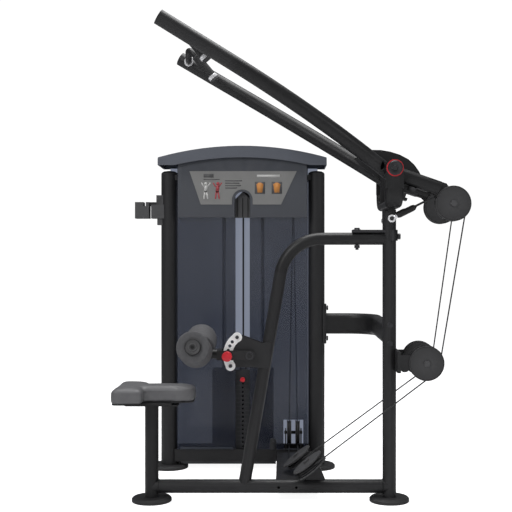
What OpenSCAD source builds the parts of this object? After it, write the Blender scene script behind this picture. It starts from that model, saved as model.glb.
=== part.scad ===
// Selectorised lat pulldown machine: two converging press-down arms, thigh rollers and a weight tower.
// Millimetres, +Z up. Origin: underside of the main post's foot. The user faces +X, the tower is on +Y.

/* [Main frame] */
// Outer diameter of the round frame tubes
post_d = 60; // [50:1:76]
// Wall of the round frame tubes
wall = 3; // [2:0.5:5]
// Distance from the main post to the seat post
seat_reach = 1045; // [900:5:1200]
// Height of the base tube's axis above the floor
base_z = 66; // [55:1:90]
// Height of the main post's top
post_top = 1282; // [1150:1:1400]
// Diameter of the foot discs under the two posts
foot_d = 175; // [140:1:220]
// Thickness of every foot disc
foot_h = 21; // [15:1:30]

/* [Curved brace] */
// Diameter of the curved brace tube
brace_d = 54; // [45:1:60]
// Height of the brace's level run
brace_z = 1154.5; // [1050:0.5:1200]
// Lean of the brace from the vertical, in degrees
brace_lean = 9.75; // [5:0.25:15]
// Centreline radius of the brace's bend
brace_r = 185; // [140:1:220]

/* [Arms] */
// Height of the arm pivot above the floor
pivot_z = 1446; // [1350:1:1550]
// Diameter of the arm tubes
arm_d = 63.5; // [50:0.5:76]
// Bend radius of the arm tubes
arm_r = 2000; // [1500:10:2600]
// Swing of the arms from their stop, in degrees
arm_swing = 38; // [30:1:42]
// Diameter of the pivot shafts
shaft_d = 30; // [20:1:35]
// Radial clearance of the running fits on shafts and axles
run_gap = 0.06; // [0.02:0.01:0.1]
// Diameter of the hand grips
grip_d = 39; // [32:1:42]

/* [Cable and pulleys] */
// Cable diameter
cable_d = 6; // [4:0.5:8]
// Radius from a pulley's axis to the cable's centreline
groove_r = 59; // [50:1:62]
// Outer diameter of the pulleys
pulley_d = 124; // [110:1:130]
// Width of the pulleys
pulley_w = 22; // [16:1:25]
// Diameter of the pulley cover discs
cover_d = 150; // [120:1:160]
// Diameter of the pulley axles
axle_d = 16; // [12:0.5:20]
// Slope of the cable run from the middle pulleys down to the base pulleys, in degrees
run_slope = 38.9; // [30:0.1:45]

/* [Weight tower] */
// Distance from the frame's middle plane to the tower uprights
tower_y = 704; // [650:1:760]
// Distance between the uprights' axes
upright_span = 749; // [700:1:800]
// Diameter of the uprights
upright_d = 84; // [76:1:100]
// Height of the uprights' tubes
upright_top = 1495; // [1400:1:1600]
// Distance between the guide rods
rod_span = 198; // [160:1:220]
// Diameter of the guide rods
rod_d = 20; // [16:1:25]
// Number of weight plates below the head plate
plate_count = 17; // [10:1:18]
// Pitch of the weight plates
plate_pitch = 21.3; // [20:0.1:22]
// Width and depth of a weight plate
plate_size = [311, 110];
// Diameter of the selector stem
stem_d = 22; // [18:1:25]
// Width of the slot between the front panels
slot_w = 72; // [60:1:90]

/* [Seat and thigh pad] */
// Height of the seat pad's top
seat_top = 510; // [420:1:560]
// Thickness of the seat pad
seat_t = 65; // [40:1:80]
// Diameter of the foam rollers
roller_d = 146; // [120:1:160]
// Length of a foam roller along its axle
roller_len = 170; // [140:1:190]
// Tilt of the roller axles, in degrees
roller_tilt = 12; // [0:1:15]
// Distance from the pad arm's pivot to the roller axle
pad_reach = 231; // [180:1:260]

/* [Hidden] */
tower_x = -673.5;              // middle of the tower
left_x = tower_x - upright_span / 2;
right_x = tower_x + upright_span / 2;
stack_y = tower_y + 44;        // middle of the weight stack
front_y = tower_y - 42;        // front face of the front panels
rear_y = tower_y + 124;        // front face of the rear panel
tray_z = 40;                   // underside of the tower's base tray
stack_z = 100;                 // underside of the weight stack
head_z = stack_z + plate_count * plate_pitch;
head_h = 38;
top_pulley_z = 1424;
arm_y = 168;                   // arm, lever and arm pulley plane
leg_y = 216;                   // yoke leg plane
leg_t = 34;
yoke_w = 74;
yoke_z = post_top + leg_t / 2;
lever_slope = 19;
lever_z = pivot_z - 16;        // height of the lever's axis under the pivot
arm_axle = [251, arm_y, 1300];
mid_axle = [146, 115, 620];
fork_t = 6;
fork_in = 13.5;                // inner face of a fork plate, from the pulley's middle
pad_pivot = [-613, 0, 645];
pad_roller = [pad_pivot[0] - pad_reach, 0, 648];
knob_x = -709;
sector_r = pad_pivot[0] - knob_x;
run_dir = [-cos(run_slope), 0, -sin(run_slope)];
run_up = [-sin(run_slope), 0, cos(run_slope)];
// base pulleys: near one under the frame's middle, far one on the base link
base_near = [-352, groove_r - mid_axle[1], 169];
base_far = [-395.8, groove_r + mid_axle[1], 150.0];
low_axle = [-416.5, stack_y - groove_r, 123 + groove_r];
top_axle = [-416.5 - groove_r, stack_y, top_pulley_z];
head_r = 36;                   // groove radius of the pulley on the head plate
centre_axle = [tower_x + groove_r, stack_y, top_pulley_z];
head_axle = [tower_x, stack_y, head_z + head_h + 52];
arm_start = [0, -142, pivot_z - 26.4];
arm_dir0 = [-0.7417, -0.4344, 0.5104];
arm_dir1 = [-0.8533, -0.0980, 0.5121];
arm_elbow = arm_start + arm_dir0 * 498;
arm_tip = arm_elbow + arm_dir1 * 691;
bolt_zs = [775, 695];
cable_eye = [-5, 150, 1238];     // anchor of each cable end, under the yoke
pin_hole = 11;                 // selector pin holes, across the corners

black = [0.16, 0.16, 0.17];
satin = [0.22, 0.22, 0.23];
shell = [0.24, 0.27, 0.33];
steel = [0.72, 0.72, 0.74];
zinc = [0.86, 0.86, 0.84];
red = [0.80, 0.13, 0.17];
rubber = [0.10, 0.10, 0.10];
vinyl = [0.27, 0.27, 0.28];

// ---- vectors and general shapes ----

function unit(v) = v / norm(v);

// places children with the given local x and y axes at a point
module place(p, x, y) {
  z = cross(x, y);
  multmatrix([[x[0], y[0], z[0], p[0]], [x[1], y[1], z[1], p[1]], [x[2], y[2], z[2], p[2]], [0, 0, 0, 1]])
    children();
}

// any unit vector square to v
function square_to(v) = unit(cross(v, abs(v[2]) < 0.9 ? [0, 0, 1] : [0, 1, 0]));

// round bar from p to q
module bar(p, q, d, fn = 32) {
  z = unit(q - p);
  x = square_to(z);
  place(p, x, cross(z, x)) cylinder(d = d, h = norm(q - p), $fn = fn);
}

// round tube from p to q
module pipe(p, q, d, t, fn = 32) {
  e = unit(q - p);
  difference() {
    bar(p, q, d, fn);
    bar(p - e, q + e, d - 2 * t, fn);
  }
}

module ring2(d, t) {
  difference() {
    circle(d = d, $fn = 32);
    circle(d = d - 2 * t, $fn = 32);
  }
}

// flat-oval ring: a stadium of width w and height h built from a rectangle and two circles
module stadium(w, h) {
  square([w - h, h], center = true);
  for (s = [-1, 1]) translate([s * (w - h) / 2, 0]) circle(d = h, $fn = 24);
}

// bent tube: the section (children) follows the points, rounded at each corner by its radius;
// n is the normal of the bending plane and becomes the section's y axis; seam parts the pieces
module bent(pts, radii, n = undef, fn = 64, seam = 0) {
  k = len(pts);
  dirs = [for (i = [0:k - 2]) unit(pts[i + 1] - pts[i])];
  turns = [for (i = [0:k - 3]) acos(dirs[i] * dirs[i + 1])];
  trims = [for (i = [0:k - 3]) radii[i] * tan(turns[i] / 2)];
  normals = [for (i = [0:k - 3]) is_undef(n) ? unit(cross(dirs[i], dirs[i + 1])) : n];
  for (i = [0:k - 2]) {
    a = pts[i] + dirs[i] * (i == 0 ? 0 : trims[i - 1]);
    b = pts[i + 1] - dirs[i] * (i == k - 2 ? 0 : trims[i]);
    m = normals[min(i, k - 3)];
    place(a + dirs[i] * seam, cross(m, dirs[i]), m) linear_extrude(norm(b - a) - 2 * seam) children();
  }
  for (i = [0:k - 3]) {
    m = normals[i];
    way = sign(cross(dirs[i], dirs[i + 1]) * m);
    c = pts[i + 1] - dirs[i] * trims[i] + cross(m, dirs[i]) * radii[i] * way;
    out = cross(dirs[i], m) * way;
    place(c, out, dirs[i]) rotate_extrude(angle = turns[i], $fn = fn) translate([radii[i], 0]) children();
  }
}

// copies children to the far side of the middle plane
module both_sides() {
  children();
  mirror([0, 1, 0]) children();
}

// cylinder along Y, centred on p
module across(p, d, w, fn = 32) {
  translate(p) rotate([90, 0, 0]) cylinder(d = d, h = w, center = true, $fn = fn);
}

// cylinder along X, centred on p
module along(p, d, w, fn = 32) {
  translate(p) rotate([0, 90, 0]) cylinder(d = d, h = w, center = true, $fn = fn);
}

// cable pulley around local z, with a V groove
module pulley_shape(r = groove_r, d = pulley_d, w = pulley_w, bore = axle_d) {
  g = r - cable_d / 2 - 0.3;
  rotate_extrude($fn = 28) polygon([
    [bore / 2 + run_gap, -w / 2], [d / 2, -w / 2], [d / 2, -w / 2 + 2.5], [g, -cable_d * 0.42],
    [g, cable_d * 0.42], [d / 2, w / 2 - 2.5], [d / 2, w / 2], [bore / 2 + run_gap, w / 2]]);
}

// annular disc around local z, from z0 up
module disc(d, bore, t, z0 = 0, fn = 32) {
  translate([0, 0, z0]) difference() {
    cylinder(d = d, h = t, $fn = fn);
    translate([0, 0, -1]) cylinder(d = bore, h = t + 2, $fn = 16);
  }
}

// ---- main frame ----

module base_tube() color(black) difference() {
  pipe([-seat_reach, 0, base_z], [0, 0, base_z], post_d, wall);
  for (x = [0, -seat_reach]) translate([x, 0, 0]) cylinder(d = post_d, h = 200, $fn = 32);
  for (x = [-487, -409]) across([x, -post_d / 2, base_z], 11, 20, 16);
}

module main_post() color(black) difference() {
  pipe([0, 0, foot_h], [0, 0, post_top], post_d, wall);
  for (z = bolt_zs) across([0, -post_d / 2, z], 12, 20, 16);
}

module seat_post() color(black) {
  pipe([-seat_reach, 0, foot_h], [-seat_reach, 0, seat_top - seat_t - 20], post_d, wall);
  translate([-seat_reach - 110, -60, seat_top - seat_t - 20]) cube([230, 120, 6]);
}

module foot(d) {
  rotate_extrude($fn = 40) polygon([[0, 0], [d / 2 - 3, 0], [d / 2, 3], [d / 2, foot_h - 7],
    [d / 2 - 7, foot_h], [0, foot_h]]);
}

module foot_discs() color(rubber) {
  foot(foot_d);
  translate([-seat_reach, 0, 0]) foot(foot_d);
  for (x = [left_x, right_x]) translate([x, tower_y, 0]) foot(foot_d + 15);
}

module curved_brace() color(black) {
  corner = [-452.3, 0, brace_z];
  up = [sin(brace_lean), 0, cos(brace_lean)];
  trim = brace_r * tan((90 - brace_lean) / 2);
  low = corner - up * (brace_z - base_z) / cos(brace_lean);
  // leaning run, cut to sit on the base tube
  difference() {
    pipe(low, corner - up * trim, brace_d, wall);
    bar([-900, 0, base_z], [0, 0, base_z], post_d);
  }
  translate(corner + [trim, 0, -brace_r]) rotate([90, 0, 0]) rotate([0, 0, 90])
    rotate_extrude(angle = 90 - brace_lean, $fn = 64) translate([brace_r, 0]) ring2(brace_d, wall);
  // level run, cut to sit on the post, with the clamp bolt's hole
  difference() {
    pipe(corner + [trim, 0, 0], [0, 0, brace_z], brace_d, wall);
    translate([0, 0, brace_z - 60]) cylinder(d = post_d, h = 120, $fn = 32);
    translate([-142, 0, brace_z]) cylinder(d = 14, h = 80, center = true, $fn = 16);
  }
}

module brace_clamp() color(satin) {
  top = brace_z + brace_d / 2;
  difference() {
    translate([-164, -24, top]) cube([170, 48, 12]);
    translate([0, 0, top - 1]) cylinder(d = post_d, h = 20, $fn = 32);
    translate([-142, 0, top - 1]) cylinder(d = 14, h = 20, $fn = 16);
  }
  difference() {
    translate([0, 0, top - 36]) cylinder(d = post_d + 14, h = 48, $fn = 32);
    translate([0, 0, top - 37]) cylinder(d = post_d, h = 60, $fn = 32);
    translate([-60, -60, top - 38]) cube([60, 120, 60]);
  }
}

module frame_bolts() color(satin) {
  top = brace_z + brace_d / 2 + 12;
  translate([-142, 0, top]) cylinder(d = 24, h = 9, $fn = 6);
  translate([-142, 0, brace_z - brace_d / 2 - 22])
    cylinder(d = 13.6, h = top - brace_z + brace_d / 2 + 22, $fn = 16);
  translate([-142, 0, brace_z - brace_d / 2 - 14]) cylinder(d = 24, h = 13, $fn = 6);
  along([post_d / 2 + 7 + 6, 0, brace_z + 10], 26, 12, 6);
  for (z = bolt_zs) across([0, -post_d / 2 - 3, z], 20, 6, 6);
  for (z = [660, 815]) along([right_x + upright_d / 2 + 14, tower_y, z], 24, 8, 6);
  // stop bolts at the ends of the sector plate
  for (a = [125, 209])
    across([pad_pivot[0] + sector_r * cos(a), -39.5, pad_pivot[2] + sector_r * sin(a)], 17, 7, 6);
  // cable anchors: bolts through the yoke's lugs
  both_sides() {
    across([cable_eye[0], -145, cable_eye[2]], 10, 26, 16);
    across([cable_eye[0], -131, cable_eye[2]], 18, 5.4, 6);
    across([cable_eye[0], -161, cable_eye[2]], 18, 6, 6);
  }
}

module base_link() color(black) difference() {
  translate([-499, 0, 38]) cube([195, front_y, 52]);
  translate([-495, -1, 42]) cube([187, front_y + 2, 44]);
  bar([-900, 0, base_z], [0, 0, base_z], post_d);
}

module side_link() color(black) {
  z = 735;
  face = right_x + upright_d / 2;
  difference() {
    bent([[face + 8, tower_y, z], [0, tower_y, z], [0, 0, z]], [150], [0, 0, 1], 48)
      rotate(90) difference() {
        stadium(105, 48);
        stadium(105 - 2 * wall, 48 - 2 * wall);
      }
    translate([0, 0, z - 80]) cylinder(d = post_d, h = 160, $fn = 32);
  }
  difference() {
    translate([face - 10, tower_y - 32, z - 100]) cube([18, 64, 200]);
    translate([right_x, tower_y, z - 120]) cylinder(d = upright_d, h = 240, $fn = 40);
  }
}

module post_yoke() color(black) {
  bend = 62;
  // cross bar over the post
  rotate([90, 0, 0]) translate([0, yoke_z, bend - leg_y])
    linear_extrude(2 * (leg_y - bend)) stadium(yoke_w, leg_t);
  both_sides() {
    // bend up into the leg
    translate([0, bend - leg_y, yoke_z + bend]) rotate([0, 90, 0]) rotate([0, 0, 180 + 90])
      rotate_extrude(angle = 90, $fn = 48) translate([bend, 0]) rotate(90) stadium(yoke_w, leg_t);
    // leg with its rounded top, bored for the shaft
    difference() {
      union() {
        translate([-yoke_w / 2, -leg_y - leg_t / 2, yoke_z + bend]) cube([yoke_w, leg_t, pivot_z - yoke_z - bend]);
        across([0, -leg_y, pivot_z], yoke_w, leg_t, 40);
      }
      across([0, -leg_y, pivot_z], shaft_d + 0.02, leg_t + 4, 32);
    }
    // inner ear that carries the shaft's other end
    difference() {
      union() {
        translate([-30, -104, yoke_z + leg_t / 2]) cube([60, 12, pivot_z - yoke_z - leg_t / 2]);
        across([0, -98, pivot_z], 60, 12, 32);
      }
      across([0, -98, pivot_z], shaft_d + 0.02, 20, 32);
    }
    // lug for the end of the cable
    difference() {
      union() {
        translate([cable_eye[0] - 13, -142, cable_eye[2]]) cube([26, 8, yoke_z - cable_eye[2] - 10]);
        across([cable_eye[0], -138, cable_eye[2]], 26, 8, 24);
      }
      across([cable_eye[0], -138, cable_eye[2]], 10.4, 20, 16);
    }
    // stop shelf under the lever
    place([0, -leg_y + leg_t / 2, lever_z], [cos(lever_slope), 0, -sin(lever_slope)], [0, 1, 0])
      translate([20, 0, -64]) cube([102, 56, 12]);
  }
}

module rubber_bumpers() color(rubber) {
  both_sides() place([0, -171, lever_z], [cos(lever_slope), 0, -sin(lever_slope)], [0, 1, 0])
    translate([95, 0, -52]) cylinder(d = 36, h = 52 - arm_d / 2 - 0.4, $fn = 24);
  for (s = [-1, 1]) translate([tower_x + s * rod_span / 2, stack_y, tray_z + 12]) difference() {
    cylinder(d = 52, h = stack_z - tray_z - 12.3, $fn = 24);
    translate([0, 0, -1]) cylinder(d = rod_d + 0.1, h = 80, $fn = 24);
  }
}

module hub_shafts() color(steel) both_sides() {
  across([0, -(leg_y + leg_t / 2 + 90) / 2, pivot_z], shaft_d, leg_y + leg_t / 2 - 90, 32);
  difference() {
    across([0, -leg_y - leg_t / 2 - 6, pivot_z], 62, 8, 40);
    across([0, -leg_y - leg_t / 2 - 10, pivot_z], 14, 8, 6);
  }
}

module hub_rings() color(red) both_sides() difference() {
  across([0, -leg_y - leg_t / 2 - 1, pivot_z], 71, 2, 40);
  across([0, -leg_y - leg_t / 2 - 1, pivot_z], shaft_d, 6, 32);
}

// ---- arms: built for the near side, mirrored for the far side ----

module arm_part() color(black) difference() {
  bent([arm_start, arm_elbow, arm_tip], [arm_r], undef, 120, 0.01) ring2(arm_d, wall);
  // clearance to the yoke's leg over the whole swing
  across([0, leg_t / 2 + 0.3 - leg_y - 30, pivot_z], 116, 60, 40);
  // cut back to the hub barrel and to the lever
  across([0, -150, pivot_z], 80, 120, 40);
  translate([-12, -300, pivot_z - 120]) cube([80, 240, 240]);
}

// closed end of an arm tube
module arm_plug() bar(arm_tip + arm_dir1 * 0.02, arm_tip + arm_dir1 * 5, arm_d, 32);

module lever_body() {
  e = [cos(lever_slope), 0, -sin(lever_slope)];
  a = [0, -arm_y, lever_z];
  bar(a, a + e * 205, arm_d, 32);
}

module lever_part() color(black) {
  e = [cos(lever_slope), 0, -sin(lever_slope)];
  a = [0, -arm_y, lever_z];
  difference() {
    union() {
      lever_body();
      across([0, -arm_y + 16, pivot_z], 76, 92, 40);
      // gusset over the hub, on the inner side
      translate([0, -106, 0]) rotate([90, 0, 0]) linear_extrude(6) polygon([
        [-150, pivot_z + 72], [-100, pivot_z + 88], [-47, pivot_z + 87], [-7, pivot_z + 80], [34, pivot_z + 67],
        [70, pivot_z + 48], [96, pivot_z + 24], [116, pivot_z - 4], [129, pivot_z - 30], [60, pivot_z - 60],
        [-20, pivot_z - 30], [-120, pivot_z + 40]]);
      // fork plates down to the arm pulley
      for (s = [-1, 1]) translate([0, -arm_y + s * (fork_in + fork_t / 2), 0]) rotate([90, 0, 0])
        linear_extrude(fork_t, center = true) {
          polygon([[150, 1408], [222, 1384], [arm_axle[0] + 28, 1306], [arm_axle[0] - 26, 1290], [168, 1340]]);
          translate([arm_axle[0], arm_axle[2]]) circle(d = 56, $fn = 32);
        }
    }
    across([0, -arm_y, pivot_z], shaft_d + 2 * run_gap, 300, 32);
    // room for the pulley between the fork plates
    across([arm_axle[0], -arm_y, arm_axle[2]], pulley_d + 14, 2 * fork_in, 40);
    across([arm_axle[0], -arm_y, arm_axle[2]], axle_d + 0.02, 100, 24);
    // slot for the cable's run, over its whole swing
    translate([0, fork_in - arm_y, 0]) rotate([90, 0, 0]) linear_extrude(2 * fork_in)
      polygon([[134, 1290], [134, 1347], [250, 1376], [250, 1290]]);
    // clearance to the yoke's leg
    translate([-60, -leg_y, pivot_z - 120]) cube([120, leg_t / 2 + 0.4, 240]);
  }
}

module handle_part() color(black) {
  leg = [-922, -410, 2003];
  elbow = [-906, -236, 2045];
  end = [-787, -236, 1902];
  difference() {
    bent([leg - unit(elbow - leg) * 20, elbow, end], [45], undef, 40, 0.01) circle(d = 30, $fn = 24);
    bar(arm_tip - arm_dir1 * 200, arm_tip + arm_dir1 * 20, arm_d, 32);
  }
}

module grip_part() color(rubber) {
  elbow = [-906, -236, 2045];
  end = [-787, -236, 1902];
  e = unit(end - elbow);
  difference() {
    union() {
      bar(elbow + e * 52, end + e * 2, grip_d, 32);
      bar(end + e * 2, end + e * 10, grip_d + 6, 32);
    }
    bar(elbow + e * 40, end, 30, 24);
  }
}

module axle_part() color(satin) {
  c = [arm_axle[0], -arm_y, arm_axle[2]];
  across(c, axle_d, 54, 24);
  for (s = [-1, 1]) {
    difference() {
      across(c + [0, s * 22.6, 0], cover_d, 6, 40);
      across(c + [0, s * 22.6, 0], axle_d, 8, 24);
    }
    across(c + [0, s * 30, 0], 30, 8.8, 6);
  }
}

module right_arm() { arm_part(); color(rubber) arm_plug(); }
module right_lever() lever_part();
module right_handle() handle_part();
module right_grip() grip_part();
module right_axle() axle_part();
module left_arm() mirror([0, 1, 0]) right_arm();
module left_lever() mirror([0, 1, 0]) lever_part();
module left_handle() mirror([0, 1, 0]) handle_part();
module left_grip() mirror([0, 1, 0]) grip_part();
module left_axle() mirror([0, 1, 0]) axle_part();

// ---- pulleys ----

module upright_pulley(p) color(satin) translate(p) rotate([90, 0, 0]) pulley_shape();
module right_arm_pulley() upright_pulley([arm_axle[0], -arm_y, arm_axle[2]]);
module left_arm_pulley() upright_pulley(arm_axle);
module right_mid_pulley() upright_pulley([mid_axle[0], -mid_axle[1], mid_axle[2]]);
module left_mid_pulley() upright_pulley(mid_axle);
module tilted(c) place(c, -run_dir, [0, 1, 0]) children();
module right_base_pulley() color(satin) tilted(base_near) pulley_shape();
module left_base_pulley() color(satin) tilted(base_far) pulley_shape();

module low_pulleys() color(satin) for (s = [-1, 1])
  translate(low_axle + [s * 21.5, 0, 0]) rotate([0, 90, 0]) pulley_shape();

module top_pulleys() color(satin) for (s = [-1, 1])
  translate(top_axle + [0, s * head_r, 0]) rotate([90, 0, 0]) pulley_shape();

module centre_pulleys() color(satin) for (s = [-1, 1])
  translate(centre_axle + [0, s * head_r, 0]) rotate([90, 0, 0]) pulley_shape();

module head_pulley() color(satin) translate(head_axle) rotate([0, 90, 0])
  pulley_shape(head_r, 2 * head_r + 8, 18);

// fixed covers and axles of the middle and base pulleys
module pulley_covers() color(satin) {
  both_sides() {
    for (s = [-1, 1]) difference() {
      across([mid_axle[0], -mid_axle[1] + s * 22.6, mid_axle[2]], cover_d, 6, 40);
      across([mid_axle[0], -mid_axle[1] + s * 22.6, mid_axle[2]], axle_d, 8, 24);
    }
    across([mid_axle[0], -mid_axle[1] - 30, mid_axle[2]], 30, 8.8, 6);
  }
  across(mid_axle - [0, mid_axle[1], 0], axle_d, 2 * mid_axle[1] + 56, 24);
  for (c = [base_near, base_far]) tilted(c) {
    disc(cover_d, axle_d, 6, fork_in, 40);
    if (c == base_near) disc(cover_d, axle_d, 6, -fork_in - 6, 40);
    translate([0, 0, -34]) cylinder(d = axle_d, h = 54, $fn = 24);
    translate([0, 0, 19.5]) cylinder(d = 30, h = 8, $fn = 6);
  }
}

module mid_bracket() color(black) difference() {
  union() {
    translate([post_d / 2 - 8, -mid_axle[1] - 19.5, 578]) cube([14, 2 * mid_axle[1] + 39, 90]);
    both_sides() for (s = [-1, 1])
      translate([0, -mid_axle[1] + s * (fork_in + fork_t / 2), 0]) rotate([90, 0, 0])
        linear_extrude(fork_t, center = true) {
          translate([post_d / 2 + 5.9, 600]) square([mid_axle[0] - 36, 55]);
          translate([post_d / 2 + 22, 605]) circle(d = 46, $fn = 32);
          translate([mid_axle[0], mid_axle[2]]) circle(d = 70, $fn = 32);
        }
  }
  translate([0, 0, 500]) cylinder(d = post_d, h = 240, $fn = 32);
  across(mid_axle - [0, mid_axle[1], 0], axle_d + 0.02, 400, 24);
}

module base_brackets() color(black) {
  for (c = [base_near, base_far]) difference() {
    union() {
      // strap under the pulley, square to its axle
      tilted(c) translate([0, 0, -25.6]) {
        cylinder(d = 64, h = 6, $fn = 32);
        translate([-32, 0, 0]) cube([64, c == base_near ? 74 : 20, 6]);
      }
      // wedge down to the tube or the link
      translate([0, c == base_near ? 16 : c[1] + 25, 0]) rotate([90, 0, 0])
        linear_extrude(c == base_near ? 24 : 50) polygon([
          [c[0] - 22, c == base_near ? 76 : 90], [c[0] + 78, c == base_near ? 76 : 90],
          [c[0] + 16 + 24, c[2] - 20 + 19], [c[0] + 16 - 25, c[2] - 20 - 20]]);
    }
    bar([-900, 0, base_z], [0, 0, base_z], post_d);
    translate([-499, 0, 38]) cube([195, front_y, 52]);
    tilted(c) translate([0, 0, -19.55]) cylinder(d = 200, h = 60, $fn = 40);
    tilted(c) translate([0, 0, -80]) cylinder(d = axle_d + 0.02, h = 100, $fn = 24);
  }
}

// brackets of the pulleys inside the tower
module tower_brackets() color(black) {
  // low pair: two cheeks on the base tray and the shared axle
  difference() {
    for (s = [-1, 1]) translate([low_axle[0] + s * 39 - 3, front_y + 7, tray_z + 12])
      cube([6, 46, low_axle[2] - tray_z + 6]);
    along(low_axle, axle_d + 0.02, 200, 24);
    translate([low_axle[0] - 60, front_y, tray_z]) cube([120, 22.3, 60.3]);
  }
  along(low_axle, axle_d, 92, 24);
  // top and centre pairs: hangers from the top beam
  for (p = [top_axle, centre_axle]) {
    difference() {
      for (s = [-1, 1]) translate([p[0] - 22, stack_y + s * 54 - 3, p[2] - 22])
        cube([44, 6, upright_top - 30 - p[2] + 22]);
      across(p, axle_d + 0.02, 200, 24);
    }
    across(p, axle_d, 122, 24);
  }
}

// one continuous cable: its near half, mirrored in kind on the far side
function arc_pts(c, r, u, v, a0, a1) = let (k = ceil(abs(a1 - a0) / 8))
  [for (i = [0:k]) let (a = a0 + (a1 - a0) * i / k) c + u * r * cos(a) + v * r * sin(a)];

// angle, in the plane (u, v) about c, at which the line from p touches the circle
function touch(c, r, u, v, p, side) =
  let (d = p - c, x = d * u, y = d * v) (atan2(y, x) + side * acos(r / norm([x, y])) + 360) % 360;

function cable_half(s) =
  let (
    x = [1, 0, 0], y = [0, 1, 0], z = [0, 0, 1],
    eye = [cable_eye[0], s * cable_eye[1], cable_eye[2]],
    arm_c = [arm_axle[0], s * arm_y, arm_axle[2]],
    mid_c = [mid_axle[0], s * mid_axle[1], mid_axle[2]],
    base_c = s < 0 ? base_near : base_far,
    a_in = touch(arm_c, groove_r, x, z, eye, -1),
    over = arm_c + groove_r * [cos(a_in), 0, sin(a_in)],
    gap = [arm_c[0] - mid_c[0], arm_c[2] - mid_c[2]],
    down = atan2(gap[1], gap[0]) - 90,
    up_x = low_axle[0] + (s < 0 ? 21.5 : -21.5)
  )
  concat(
    [eye + unit(over - eye) * 14],
    arc_pts(arm_c, groove_r, x, z, a_in, down),
    arc_pts(mid_c, groove_r, x, z, down, run_slope - 90),
    arc_pts(base_c, groove_r, -run_dir, y, -90, -180),
    arc_pts([up_x, low_axle[1], low_axle[2]], groove_r, y, z, -90, 0),
    arc_pts([top_axle[0], stack_y + s * head_r, top_axle[2]], groove_r, x, z, 0, 90),
    arc_pts([centre_axle[0], stack_y + s * head_r, centre_axle[2]], groove_r, x, z, 90, 180)
  );

cable_path = concat(
  cable_half(-1),
  arc_pts(head_axle, head_r, [0, 1, 0], [0, 0, 1], -180, 0),
  [for (i = [len(cable_half(1)) - 1:-1:0]) cable_half(1)[i]]
);

// tube swept along a list of points, k-sided
module sweep(path, r, k = 6) {
  n = len(path);
  t = [for (i = [0:n - 1]) unit(path[min(i + 1, n - 1)] - path[max(i - 1, 0)])];
  function carry(i, v) = unit(v - t[i] * (v * t[i]));
  function frames(i, v, acc) = i == n ? acc : let (w = carry(i, v)) frames(i + 1, w, concat(acc, [w]));
  f = frames(0, square_to(t[0]), []);
  pts = [for (i = [0:n - 1]) for (j = [0:k - 1])
    path[i] + r * (f[i] * cos(360 * j / k) + cross(t[i], f[i]) * sin(360 * j / k))];
  sides = [for (i = [0:n - 2]) for (j = [0:k - 1]) let (a = i * k + j, b = i * k + (j + 1) % k)
    [a, a + k, b + k, b]];
  polyhedron(pts, concat([[for (j = [0:k - 1]) j]], sides, [[for (j = [k - 1:-1:0]) (n - 1) * k + j]]), 4);
}

module cable() color(rubber) sweep(cable_path, cable_d / 2);

// ---- tower ----

module upright(x) color(black) pipe([x, tower_y, foot_h], [x, tower_y, upright_top], upright_d, 4, 40);
module left_upright() upright(left_x);
module right_upright() upright(right_x);

module upright_caps() color(rubber) for (x = [left_x, right_x]) translate([x, tower_y, upright_top])
  rotate_extrude($fn = 32) polygon([[0, 0], [upright_d / 2, 0], [upright_d / 2 - 2, 8], [upright_d / 3, 15], [0, 19]]);

module tower_beams() color(black) difference() {
  x0 = left_x + 30;
  w = upright_span - 60;
  union() {
    translate([x0, front_y, tray_z]) cube([w, rear_y - front_y, 12]);
    translate([x0, front_y, tray_z]) cube([w, 22, 60]);
    translate([x0, rear_y - 22, tray_z]) cube([w, 22, 60]);
    translate([x0, tower_y - 30, upright_top - 30]) cube([w, rear_y - tower_y + 24, 4]);
    translate([x0, tower_y - 30, upright_top - 30]) cube([w, 22, 26]);
  }
  // slots for the upper pulleys
  for (s = [-1, 1]) translate([centre_axle[0] - 76, stack_y + s * head_r - pulley_w / 2 - 2, upright_top - 40])
    cube([top_axle[0] - centre_axle[0] + 152, pulley_w + 4, 60]);
  for (x = [left_x, right_x]) translate([x, tower_y, 0]) cylinder(d = upright_d, h = 1600, $fn = 40);
  for (s = [-1, 1]) translate([tower_x + s * rod_span / 2, stack_y, 0])
    cylinder(d = rod_d + 0.02, h = 1600, $fn = 24);
}

module front_panels() color(shell, 0.6) {
  w = (upright_span - upright_d - slot_w) / 2 - 2;
  difference() {
    for (s = [-1, 1]) translate([tower_x + s * (slot_w / 2 + w / 2) - w / 2, front_y, tray_z + 61])
      cube([w, 5, 1435]);
    // opening for the low pulleys and their cables
    translate([low_axle[0] - 50, front_y - 1, tray_z]) cube([100, 8, low_axle[2] + pulley_d / 2 + 6 - tray_z]);
  }
}

module rear_panel() color(shell, 0.6) {
  w = upright_span + 20;
  translate([tower_x - w / 2, rear_y + 0.2, tray_z]) cube([w, 5, 1496]);
}

cap_r = 1560;                  // radius of the top cap's arch
cap_top = 1632;
cap_w = 848;
header_w = 648;

// header's front outline, drawn in by inset
module header_face(inset) intersection() {
  translate([tower_x - header_w / 2 + inset, 1273 + inset]) square([header_w - 2 * inset, 400]);
  translate([tower_x, cap_top - cap_r]) circle(r = cap_r - 56, $fn = 120);
}

// notch in the header's lower edge, above the slot: straight sides and a half-round top
module header_arch(w, top) {
  translate([tower_x - w / 2, 1200]) square([w, top - w / 2 - 1200]);
  translate([tower_x, top - w / 2]) circle(d = w, $fn = 32);
}

module header_cover() color(shell) translate([0, front_y, 0]) rotate([90, 0, 0]) difference() {
  linear_extrude(32) difference() {
    header_face(0);
    header_arch(80, 1404);
  }
  translate([0, 0, -1]) linear_extrude(29) difference() {
    header_face(4);
    header_arch(88, 1408);
  }
}

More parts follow.
